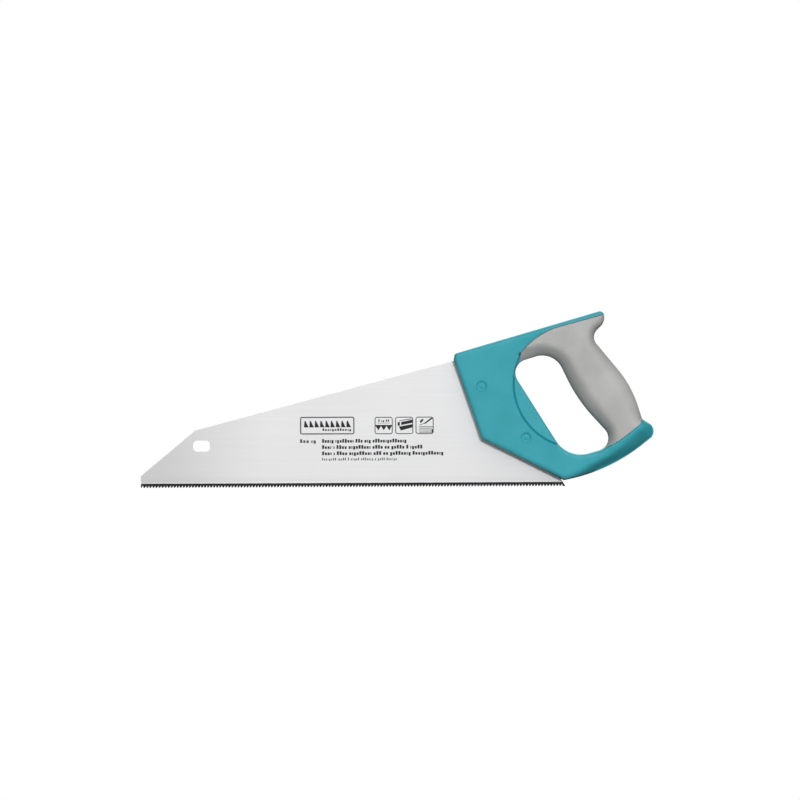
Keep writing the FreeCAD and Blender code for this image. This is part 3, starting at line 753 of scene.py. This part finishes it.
def seam_drop(points, line, turn):
    """How far the surface turns down beside the seam."""
    width, depth = turn
    near = np.clip(gap_to(points, line) / width, 0.0, 1.0)
    return depth * (1.0 - np.sqrt(1.0 - (1.0 - near) ** 2))


def shell(name, plan, chosen, heights, pockets=()):
    """A closed piece: a region's two faces, walls round its borders, and round pockets."""
    points, triangles = plan
    triangles = triangles[chosen]
    used, compact = np.unique(triangles, return_inverse=True)
    triangles = compact.reshape(-1, 3)
    points, heights = points[used], heights[used]
    ways, others = (points[triangles[:, k]] - points[triangles[:, 0]] for k in (1, 2))
    turned = ways[:, 0] * others[:, 1] - ways[:, 1] * others[:, 0] < 0
    triangles[turned] = triangles[turned][:, ::-1]
    triangles = triangles.tolist()
    count = len(points)
    corners = [place(x, z, side * h) for side in (-1, 1) for (x, z), h in zip(points, heights)]
    faces = triangles + [[i + count for i in t[::-1]] for t in triangles]
    pairs = dict.fromkeys((a, b) for t in triangles for a, b in zip(t, t[1:] + t[:1]))
    rim = {a: b for a, b in pairs if (b, a) not in pairs}
    seats = [[a for a in rim if np.hypot(*(points[a] - spot)) < PLUG_SEAT + 0.05]
             for spot in pockets]
    in_seat = {a for seat in seats for a in seat}
    faces += [(b, a, a + count, b + count) for a, b in rim.items() if a not in in_seat]
    for spot, seat in zip(pockets, seats):
        loop = [seat[0]]
        while rim[loop[-1]] != loop[0]:
            loop.append(rim[loop[-1]])
        for side in (-1, 1):
            base = len(corners)
            corners += [place(*points[a], side * SEAT_FLOOR) for a in loop]
            corners.append(place(*spot, side * SEAT_FLOOR))
            top = [a if side < 0 else a + count for a in loop]
            for k, n in ring_edges(0, len(loop)):
                new = [(top[n], top[k], base + k, base + n), (base + n, base + k, base + len(loop))]
                faces += new if side < 0 else [face[::-1] for face in new]
    return mesh_object(name, corners, faces)


core_points, core_triangles = core_plan
middles = core_points[core_triangles].mean(axis=1)
in_core = in_handle(middles) & ~is_inside(middles, sleeve_end)
for rim_line in plug_rims:
    in_core &= ~is_inside(middles, rim_line)

core_half = half_width(core_points, CORE_EDGES, 0.0, DRAFT)
core_half -= seam_drop(core_points, seam, CORE_TURN)
inside_hollow = HOLLOW["radius"] - np.hypot(*(core_points - HOLLOW["centre"]).T)
in_reach = (core_points[:, 1] < HOLLOW["top"]) & (core_points[:, 0] < HOLLOW["right"])
wall_share = blend(0.0, HOLLOW["wall"], inside_hollow)
groove_share = wall_share - blend(HOLLOW["wall"], HOLLOW["groove_end"], inside_hollow)
scoop = HOLLOW["deep"] + HOLLOW["slope"] * inside_hollow
hollowed = np.where(in_reach, scoop * wall_share + HOLLOW["groove"] * groove_share, 0.0)
core_half = np.maximum(core_half - hollowed, WALL_FOOT)
# Beside the sleeve's front end the moulding steps down, which leaves a dark notch.
in_notch = is_inside(core_points, seam) & (gap_to(core_points, notch_line, closed=False) > 0.02)
core_half = np.where(in_notch, np.minimum(core_half, NOTCH_HALF), core_half)
handle = shell("handle_moulding", core_plan, in_core, core_half, list(BOLTS.values()))
print("handle moulding", len(handle.data.polygons), "faces")

# %% Grip shell
sleeve_points, sleeve_triangles = sleeve_plan
middles = sleeve_points[sleeve_triangles].mean(axis=1)
in_sleeve = in_handle(middles) & is_inside(middles, sleeve_end)
sleeve_half = half_width(sleeve_points, SLEEVE_EDGES, SLEEVE_PROUD, 0.0)
sleeve_half -= seam_drop(sleeve_points, sleeve_end, SLEEVE_TURN)
grip = shell("grip_sleeve", sleeve_plan, in_sleeve, np.maximum(sleeve_half, THIN_EDGE / 2))
print("grip sleeve", len(grip.data.polygons), "faces")

# %% [markdown]
# ## The slot for the blade
# The blade sits in a saw cut down the middle of the cheeks. A Boolean with a thin plate is the
# plain way to make such a slot: the plate is a tenth of a millimetre clear of the blade at its
# back, its rear edge and its faces, and runs out of the handle in front.

# %% Blade slot
SLOT_GAP = 0.1
TANG = [(0.0, -5.0), (349.6, -5.0), (349.6, 0.0), (281.0, 109.5), (44.9, 47.1)]
SHARP_ANGLE = 55.0


def cut_slot(piece):
    """Take the blade's slot out of the handle moulding."""
    half = blade_high.y / MM + SLOT_GAP
    points = [place(x + SLOT_GAP, z + SLOT_GAP, side * half) for side in (-1, 1) for x, z in TANG]
    plate = mesh_object("slot_plate", points, prism_faces(0, len(TANG)), smooth=False)
    cut = piece.modifiers.new("slot", "BOOLEAN")
    cut.operation = "DIFFERENCE"
    cut.object = plate
    cut.solver = "EXACT"
    ready = piece.evaluated_get(bpy.context.evaluated_depsgraph_get())
    carved = bpy.data.meshes.new_from_object(ready)
    piece.modifiers.clear()
    piece.data = carved
    bpy.data.objects.remove(plate)


before_cut = len(handle.data.polygons)
cut_slot(handle)
for piece, name in ((handle, "handle_moulding"), (grip, "grip_sleeve")):
    piece.data.name = name
    piece.data.set_sharp_from_angle(angle=math.radians(SHARP_ANGLE))
print("slot cut:", before_cut, "faces became", len(handle.data.polygons))


# %% [markdown]
# ## Finish of the hard plastic
# The handle is moulded polypropylene: one strong colour all through, a satin surface with a very
# fine spark-eroded texture, and the faint cloudiness that a moulded face has. The grain is relief;
# the cloud is in colour and gloss.

# %% Teal plastic
def dress(piece, material, node=None):
    """Give a piece its material, hang it on the root body, and hide the CAD node it stands for."""
    piece.data.materials.clear()
    piece.data.materials.append(material)
    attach(piece, "root")
    if node:
        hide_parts(node)


def teal_plastic():
    """Satin moulded plastic with fine grain and faint flow marks."""
    finish = Finish("teal_plastic", gloss=0.7)
    cloud = finish.noise(55.0, 3.0, 0.55)
    tint = finish.tones(cloud, 0.3, 0.7, (46, 156, 168), (54, 162, 175))
    grain = finish.noise(2600.0, 2.0, 0.6)
    flow = finish.noise(30.0, 2.0, 0.5, finish.stretched(1.0, 1.0, 3.0))
    rough = finish.scaled(flow, 0.3, 0.7, 0.40, 0.5)
    relief = finish.bump(grain, 0.03 * MM, 0.35)
    return finish.finish(tint, rough, relief)


teal = teal_plastic()
dress(handle, teal, "handle_core")
print("teal plastic on", handle.name)


# %% [markdown]
# ## Finish of the soft grip
# The grip is a rubber-like sleeve. It scatters light softly, has almost no mirror gloss, and shows
# a fine even grain and slightly darker, shinier patches where it has been handled.

# %% Grey rubber
def grey_rubber():
    """Matt grey elastomer with a fine grain."""
    finish = Finish("grey_rubber", gloss=0.35)
    cloud = finish.noise(40.0, 3.0, 0.5)
    tint = finish.tones(cloud, 0.3, 0.7, (172, 172, 170), (182, 182, 180))
    grain = finish.noise(1900.0, 2.0, 0.55)
    rough = finish.scaled(cloud, 0.3, 0.7, 0.55, 0.68)
    relief = finish.bump(grain, 0.05 * MM, 0.4)
    return finish.finish(tint, rough, relief)


dress(grip, grey_rubber(), "soft_grip")
print("grey rubber on", grip.name)


# %% [markdown]
# ## Finish of the blade
# The plate is ground lengthwise and lacquered. The tooth edge was hardened by a quick local heat,
# which leaves a dark band a few millimetres high with a thin pale line along its top, so the colour
# depends on the height above the teeth.

# %% Ground steel
TOOTH_DEPTH = 1.9
BAND_TOP = 3.65
# The colours up the blade are placed on a ruler of this length, in millimetres, that starts at the
# tooth points.
RULER = 10.0


def ground_steel():
    """Lacquered ground steel with the dark hardened band along the teeth."""
    finish = Finish("ground_steel")
    parts = finish.add("ShaderNodeSeparateXYZ")
    finish.join(finish.where, parts.inputs["Vector"])
    height = finish.scaled(parts.outputs["Z"], blade_low.z, blade_low.z + RULER * MM, 0.0, 1.0)
    # The band's edge wanders a little, as heat does.
    height = finish.maths("MULTIPLY_ADD", finish.noise(90.0), 0.03, height)
    root, line = TOOTH_DEPTH / RULER, BAND_TOP / RULER
    band = finish.ramp(height, (
        (0.0, screen(60, 61, 63)), (root - 0.03, screen(64, 65, 67)),
        (root + 0.02, screen(72, 73, 75)), (line - 0.02, screen(72, 73, 75)),
        (line + 0.01, screen(252, 252, 253)),
        (line + 0.10, screen(250, 250, 251)), (line + 0.16, screen(240, 240, 241)),
        (1.0, screen(246, 246, 247)),
    ), smooth=False)
    bare = finish.scaled(height, line - 0.02, line + 0.01, 1.0, 0.2)
    finish.join(bare, finish.shader.inputs["Metallic"])
    # Share of the way from the toe to the heel; it drives the painted shade along the blade below.
    along = finish.scaled(parts.outputs["X"], blade_low.x, blade_high.x, 0.0, 1.0)
    lines = finish.noise(900.0, 3.0, 0.6, finish.stretched(0.012, 1.0, 1.0))
    colour = band
    # Over the band: fine grinding lines, a faint cloud, and a painted shade along the blade, darker
    # towards the toe and a little towards the heel, in place of the light's gradient in the steel.
    for source, stops in (
        (lines, ((0.35, 0.975), (0.65, 1.0))),
        (finish.noise(14.0), ((0.3, 0.975), (0.7, 1.0))),
        (along, ((0.0, 0.78), (0.32, 1.0), (0.7, 0.99), (1.0, 0.88))),
    ):
        colour = finish.times(colour, finish.ramp(source, stops))
    rough = finish.scaled(lines, 0.3, 0.7, 0.33, 0.39)
    return finish.finish(colour, rough, finish.bump(lines, 0.004 * MM, 0.2))


print("band", BAND_TOP, "mm high over teeth", TOOTH_DEPTH, "mm deep")


# %% [markdown]
# ## The blade
# The blade is a flat plate with a row of separate teeth under it. Each tooth is filed at a slant,
# so it is a point on one face and a small flat on the other, and it is set: bent to one side or the
# other in turn, so that the cut is wider than the plate. Making each tooth a little solid of its
# own keeps its faces flat and its edges crisp.

# %% Plate
PLATE_HALF = blade_high.y / MM
PITCH = 2.5
RAKE = 0.5
FACET_RUN = 0.8
FACET_RISE = 0.5
ROOT_FLAT = 0.35
LEAN = 0.45
SET = 0.3
TOOTH_COUNT = 140
NOSE_LINE = [(0.0, 9.8), (44.9, 47.1), (281.0, 109.5), (349.6, 0.0)]
# The hang hole: its middle, length, height and corner radius.
HANG = ((50.1, 34.3), 14.0, 9.2, 3.6)


def heel_at(level):
    """Where the blade's rear edge is at one height."""
    (x1, z1), (x2, z2) = NOSE_LINE[2], NOSE_LINE[3]
    return x2 + (level - z2) * (x1 - x2) / (z1 - z2)


def tooth_outline(number, side):
    """One tooth's corners on one face: base, the two ends of its point, facet and base again."""
    tip = PITCH * number
    slant = LEAN * side * PLATE_HALF
    front = slant if number % 2 else -slant
    back = -front
    start = [(tip - RAKE + front, TOOTH_DEPTH), (tip + front, 0.0)]
    if number == 0:
        # The first tooth is square: it ends on the toe.
        back = 0.0
        start = [(0.0, TOOTH_DEPTH), (0.0, 0.0)]
    if number == TOOTH_COUNT - 1:
        return start + [(heel_at(0.0), 0.0), (heel_at(TOOTH_DEPTH), TOOTH_DEPTH)]
    end = [(tip + back, 0.0), (tip + FACET_RUN + back, FACET_RISE),
           (tip + PITCH - RAKE - ROOT_FLAT + back, TOOTH_DEPTH)]
    if number and front > back:
        # The two filed faces cross above the tooth line: the point is there.
        rise = (front - back) / (RAKE / TOOTH_DEPTH + FACET_RUN / FACET_RISE)
        across = tip + back + rise * FACET_RUN / FACET_RISE
        start[1] = (across - 0.01, rise)
        end[0] = (across + 0.01, rise)
    return start + end


def oblong(middle, long, high, corner):
    """A rounded oblong as an anticlockwise list of points."""
    points = []
    for quarter, (right, up) in enumerate(((1, 1), (-1, 1), (-1, -1), (1, -1))):
        x = middle[0] + right * (long / 2 - corner)
        z = middle[1] + up * (high / 2 - corner)
        for part in range(9):
            angle = (quarter + part / 8) * math.pi / 2
            points.append((x + corner * math.cos(angle), z + corner * math.sin(angle)))
    return points


def toothed_plate():
    """The plate and all its teeth, as closed solids in one mesh."""
    points, faces = [], []
    bases = {-1: [], 1: []}
    for number in range(TOOTH_COUNT):
        bend = SET if number % 2 else -SET
        first = len(points)
        for side in (-1, 1):
            corners = tooth_outline(number, side)
            points += [place(x, z, side * PLATE_HALF + bend * (1.0 - z / TOOTH_DEPTH))
                       for x, z in corners]
            bases[side] += [corners[0], corners[-1]]
        faces += prism_faces(first, len(corners))
    hang = oblong(*HANG)
    starts = []
    for side in (-1, 1):
        outline = NOSE_LINE[:3] + bases[side][::-1]
        edges = ring_edges(0, len(outline)) + ring_edges(len(outline), len(hang))
        made = delaunay_2d_cdt([Vector(spot) for spot in outline + hang], edges, [], 1, 1e-6)
        starts.append(len(points))
        points += [place(*spot, side * PLATE_HALF) for spot in made[0]]
        for face in made[2]:
            a, b, c = (made[0][k] for k in face)
            if is_inside(np.array([(a + b + c) / 3]), np.array(hang))[0]:
                continue
            anticlockwise = (b - a).cross(c - a) > 0
            order = face if anticlockwise == (side < 0) else face[::-1]
            faces.append([starts[-1] + k for k in order])
    near, far = starts
    for a, b in edges:
        faces.append((near + a, near + b, far + b, far + a))
    return mesh_object("toothed_blade", points, faces, smooth=False)


blade = toothed_plate()
dress(blade, ground_steel(), "blade")
print("blade with", TOOTH_COUNT, "teeth,", len(blade.data.polygons), "faces")


# %% [markdown]
# ## Bolts
# The bolts that hold the blade are out of sight under their plugs, but they are real pieces, so
# they get a zinc finish. Their CAD shapes are right as they are.

# %% Zinc
def zinc_plate():
    """Bright zinc with a crystalline mottle."""
    finish = Finish("zinc_plate", metal=1.0)
    mottle = finish.noise(1500.0, 2.0, 0.5)
    tint = finish.tones(mottle, 0.35, 0.65, (176, 178, 182), (205, 206, 208))
    rough = finish.scaled(mottle, 0.3, 0.7, 0.28, 0.45)
    return finish.finish(tint, rough)


zinc = zinc_plate()
for bolt in BOLTS:
    for kind in ("_screw", "_sleeve_nut"):
        skins = nodes[bolt + kind].data.materials
        skins.clear()
        skins.append(zinc)
print("dressed", 2 * len(BOLTS), "bolt pieces")

# %% [markdown]
# ## Plugs
# A plug is turned: one profile swept round an axis. Its face is a shallow dish with a sloping wall,
# because a wall that faces straight sideways would not show from the front, and a low nub is left
# where the plastic flowed in.

# %% Plug profile
# Radius, and depth below the cheek's face, in millimetres, from the middle of the dish to the
# middle of the back.
PLUG_PROFILE = ((0.0, 0.62), (0.7, 0.64), (1.3, 0.75), (2.0, 1.05), (3.2, 1.1), (3.42, 1.0),
                (4.0, 0.1), (4.2, 0.02), (4.42, 0.06), (4.5, 0.16), (4.5, 3.0), (0.0, 3.0))
PLUG_SIDES = 64
PLUG_SHARP = 50.0


def plug_cap(name, spot, side):
    """A closed turned plug on one cheek: side is -1 for the printed side and 1 for the other."""
    (_, top), *rings, (_, bottom) = PLUG_PROFILE
    points = [place(*spot, side * (CHEEK_HALF - top))]
    for radius, depth in rings:
        ring = circle(spot, radius, PLUG_SIDES)
        points += [place(x, z, side * (CHEEK_HALF - depth)) for x, z in ring]
    points.append(place(*spot, side * (CHEEK_HALF - bottom)))
    faces = []
    for k, n in ring_edges(0, PLUG_SIDES):
        faces.append((0, 1 + k, 1 + n))
        for near in range(1, len(points) - 1 - PLUG_SIDES, PLUG_SIDES):
            far = near + PLUG_SIDES
            faces.append((near + k, far + k, far + n, near + n))
        faces.append((far + n, far + k, len(points) - 1))
    if side > 0:
        faces = [face[::-1] for face in faces]
    return mesh_object(name, points, faces)


for bolt, spot in BOLTS.items():
    for word, side in (("left", -1), ("right", 1)):
        node = "%s_%s_plug" % (word, bolt)
        cap = plug_cap(node + "_cap", spot, side)
        cap.data.set_sharp_from_angle(angle=math.radians(PLUG_SHARP))
        dress(cap, teal, node)
print("turned", 2 * len(BOLTS), "plugs")

# %% [markdown]
# ## The print
# The blade is printed on one side with a frame, three small pictures and some lines of small type.
# Ink is a thin raised film, so each mark is a closed patch a few hundredths of a millimetre proud
# of the steel. The marks are plain stand-ins: a row of teeth in the frame, simple pictures, and
# bricks in place of letters, so nothing on the blade can be read.

# %% Ink marks
INK_PROUD = 0.03
INK_SUNK = 0.02
# Sizes of the odd bricks, as shares of a letter, and the extra space between words.
NARROW, HANGING, TALL, WORD_SPACE = 0.55, 0.32, 1.42, 0.3


class Ink:
    """Flat closed marks on the printed face, gathered into one piece."""

    def __init__(self):
        self.points = []
        self.faces = []

    def layer(self, outline):
        """Add the near and the far copy of an anticlockwise outline, and say where they start."""
        first = len(self.points)
        for depth in (-PLATE_HALF - INK_PROUD, -PLATE_HALF + INK_SUNK):
            self.points += [place(x, z, depth) for x, z in outline]
        return first

    def patch(self, outline, left=0.0):
        """A filled mark, moved along the blade by the left edge of its picture."""
        first = self.layer([(left + x, z) for x, z in outline])
        self.faces += prism_faces(first, len(outline))

    def box(self, left, right, low, high):
        """A filled upright rectangle."""
        self.patch([(left, low), (right, low), (right, high), (left, high)])

    def stroke(self, start, end, width):
        """A straight line of one width between two points."""
        way = np.array(end) - np.array(start)
        across = np.array([-way[1], way[0]]) / norm(way) * width / 2
        self.patch([start - across, end - across, end + across, start + across])

    def frame(self, left, right, low, high, corner, width):
        """An empty rounded rectangle."""
        middle, long, tall = ((left + right) / 2, (low + high) / 2), right - left, high - low
        outer = self.layer(oblong(middle, long, tall, corner))
        loop = oblong(middle, long - 2 * width, tall - 2 * width, corner - width)
        inner = self.layer(loop)
        count = len(loop)
        loops = (outer, inner, inner + count, outer + count, outer)
        for a, b in zip(loops, loops[1:]):
            self.faces += [(a + k, a + n, b + n, b + k) for k, n in ring_edges(0, count)]

    def type_line(self, left, right, base, height, words, gap):
        """A line of bricks in place of letters, some tall and some hanging; gap is in letters."""
        bricks = []
        x = 0.0
        for number, length in enumerate(words):
            for k in range(length):
                pick = (3 * k + 2 * number) % 7
                wide = NARROW if pick == 2 else 1.0
                hang, top = HANGING if pick == 5 else 0.0, TALL if pick in (0, 4) else 1.0
                bricks.append((x, x + wide, hang, top))
                x += wide + gap
            x += WORD_SPACE + gap
        letter = (right - left) / bricks[-1][1]
        for start, end, hang, top in bricks:
            self.box(left + start * letter, left + end * letter,
                     base - hang * height, base + top * height)

    def piece(self, name, material):
        """Close the piece and hand it to the frame."""
        dress(mesh_object(name, self.points, self.faces, smooth=False), material)


def printing_ink(name, dark, light):
    """Matt screen ink, a little thin in places."""
    finish = Finish(name)
    thin = finish.noise(900.0, 3.0, 0.6)
    tint = finish.tones(thin, 0.35, 0.75, (dark,) * 3, (light,) * 3)
    rough = finish.scaled(thin, 0.3, 0.7, 0.5, 0.7)
    return finish.finish(tint, rough)


print("ink is", INK_PROUD, "mm proud")

# %% Frame, pictures and type
# Every number is in the drawing's millimetres, and the marks inside a picture are measured from its
# left edge.
PICTURES = (192.7, 209.6, 226.4)
PICTURE_WIDE, PICTURE_LOW, PICTURE_HIGH = 14.9, 43.4, 57.7
FRAME_TOOTH = ((0.0, 49.3), (3.9, 49.3), (3.1, 50.6), (1.2, 54.6), (0.4, 54.6))
RULE_TOOTH = ((0.0, 50.05), (2.1, 46.6), (4.2, 50.05))
BLOCK = (((3.0, 49.6), (4.6, 46.4), (14.2, 48.9), (14.2, 51.6)),
         ((2.0, 50.4), (3.9, 50.2), (3.9, 53.6), (2.0, 53.0)),
         ((4.9, 50.9), (14.2, 52.7), (14.2, 55.4), (4.9, 53.3)))
SAW = (((7.0, 52.2), (7.7, 51.6), (14.2, 56.2), (13.4, 57.0), (12.4, 56.6)),
       ((3.4, 53.2), (4.5, 52.4), (6.6, 54.9), (6.2, 55.9), (4.4, 55.2)),
       ((13.2, 44.6), (14.2, 44.6), (14.2, 47.4), (13.2, 47.4)))
# Picture number, two ends and width: the measure line, the block's edge, the saw's grip, and the
# board's grain.
STROKES = ([(0, (2.4, 52.6), (12.4, 52.6), 0.35), (1, (3.6, 54.4), (13.4, 56.0), 0.6),
            (2, (3.2, 50.6), (8.2, 52.8), 0.5), (2, (3.0, 49.3), (14.2, 49.3), 0.7)]
           + [(2, (2.8, 47.9 - 1.1 * row), (13.2, 47.9 - 1.1 * row), 0.4) for row in range(4)])
# Left and right ends, base line, height of a letter, letters in each word, and the gap between
# letters.
BLACK_TYPE = ((149.8, 173.3, 46.4, 1.35, (12,), 0.5),
              (149.4, 218.7, 36.6, 2.15, (5, 8, 3, 3, 14), 0.35),
              (149.4, 231.8, 31.5, 2.15, (4, 1, 4, 9, 4, 2, 5, 1, 5), 0.35),
              (149.4, 249.1, 26.4, 2.15, (4, 1, 4, 9, 3, 2, 8, 12), 0.35))
GREY_TYPE = ((PICTURES[0] + 3.0, PICTURES[0] + 12.0, 53.7, 1.3, (1, 2, 2), 0.45),
             (131.2, 144.2, 36.5, 2.1, (3, 2), 0.4),
             (149.4, 210.7, 22.0, 1.55, (8, 5, 1, 5, 7, 1, 4, 6), 0.8))

black_ink, grey_ink = Ink(), Ink()
grey_ink.frame(131.3, 176.1, 43.4, 58.0, 1.8, 1.0)
for left in PICTURES:
    grey_ink.frame(left, left + PICTURE_WIDE, PICTURE_LOW, PICTURE_HIGH, 2.1, 0.75)
for number in range(9):
    black_ink.patch(FRAME_TOOTH, 134.6 + 4.35 * number)
black_ink.box(PICTURES[0] + 0.6, PICTURES[0] + 14.3, 50.0, 51.0)
for number in range(3):
    black_ink.patch(RULE_TOOTH, PICTURES[0] + 0.9 + 4.5 * number)
for left, marks in ((PICTURES[1], BLOCK), (PICTURES[2], SAW)):
    for mark in marks:
        black_ink.patch(mark, left)
for picture, (x1, z1), (x2, z2), width in STROKES:
    grey_ink.stroke((PICTURES[picture] + x1, z1), (PICTURES[picture] + x2, z2), width)
for ink, type_lines in ((black_ink, BLACK_TYPE), (grey_ink, GREY_TYPE)):
    for line in type_lines:
        ink.type_line(*line)
black_ink.piece("print_black", printing_ink("black_ink", 34, 50))
grey_ink.piece("print_grey", printing_ink("grey_ink", 80, 104))
print("print:", len(black_ink.faces) + len(grey_ink.faces), "faces")
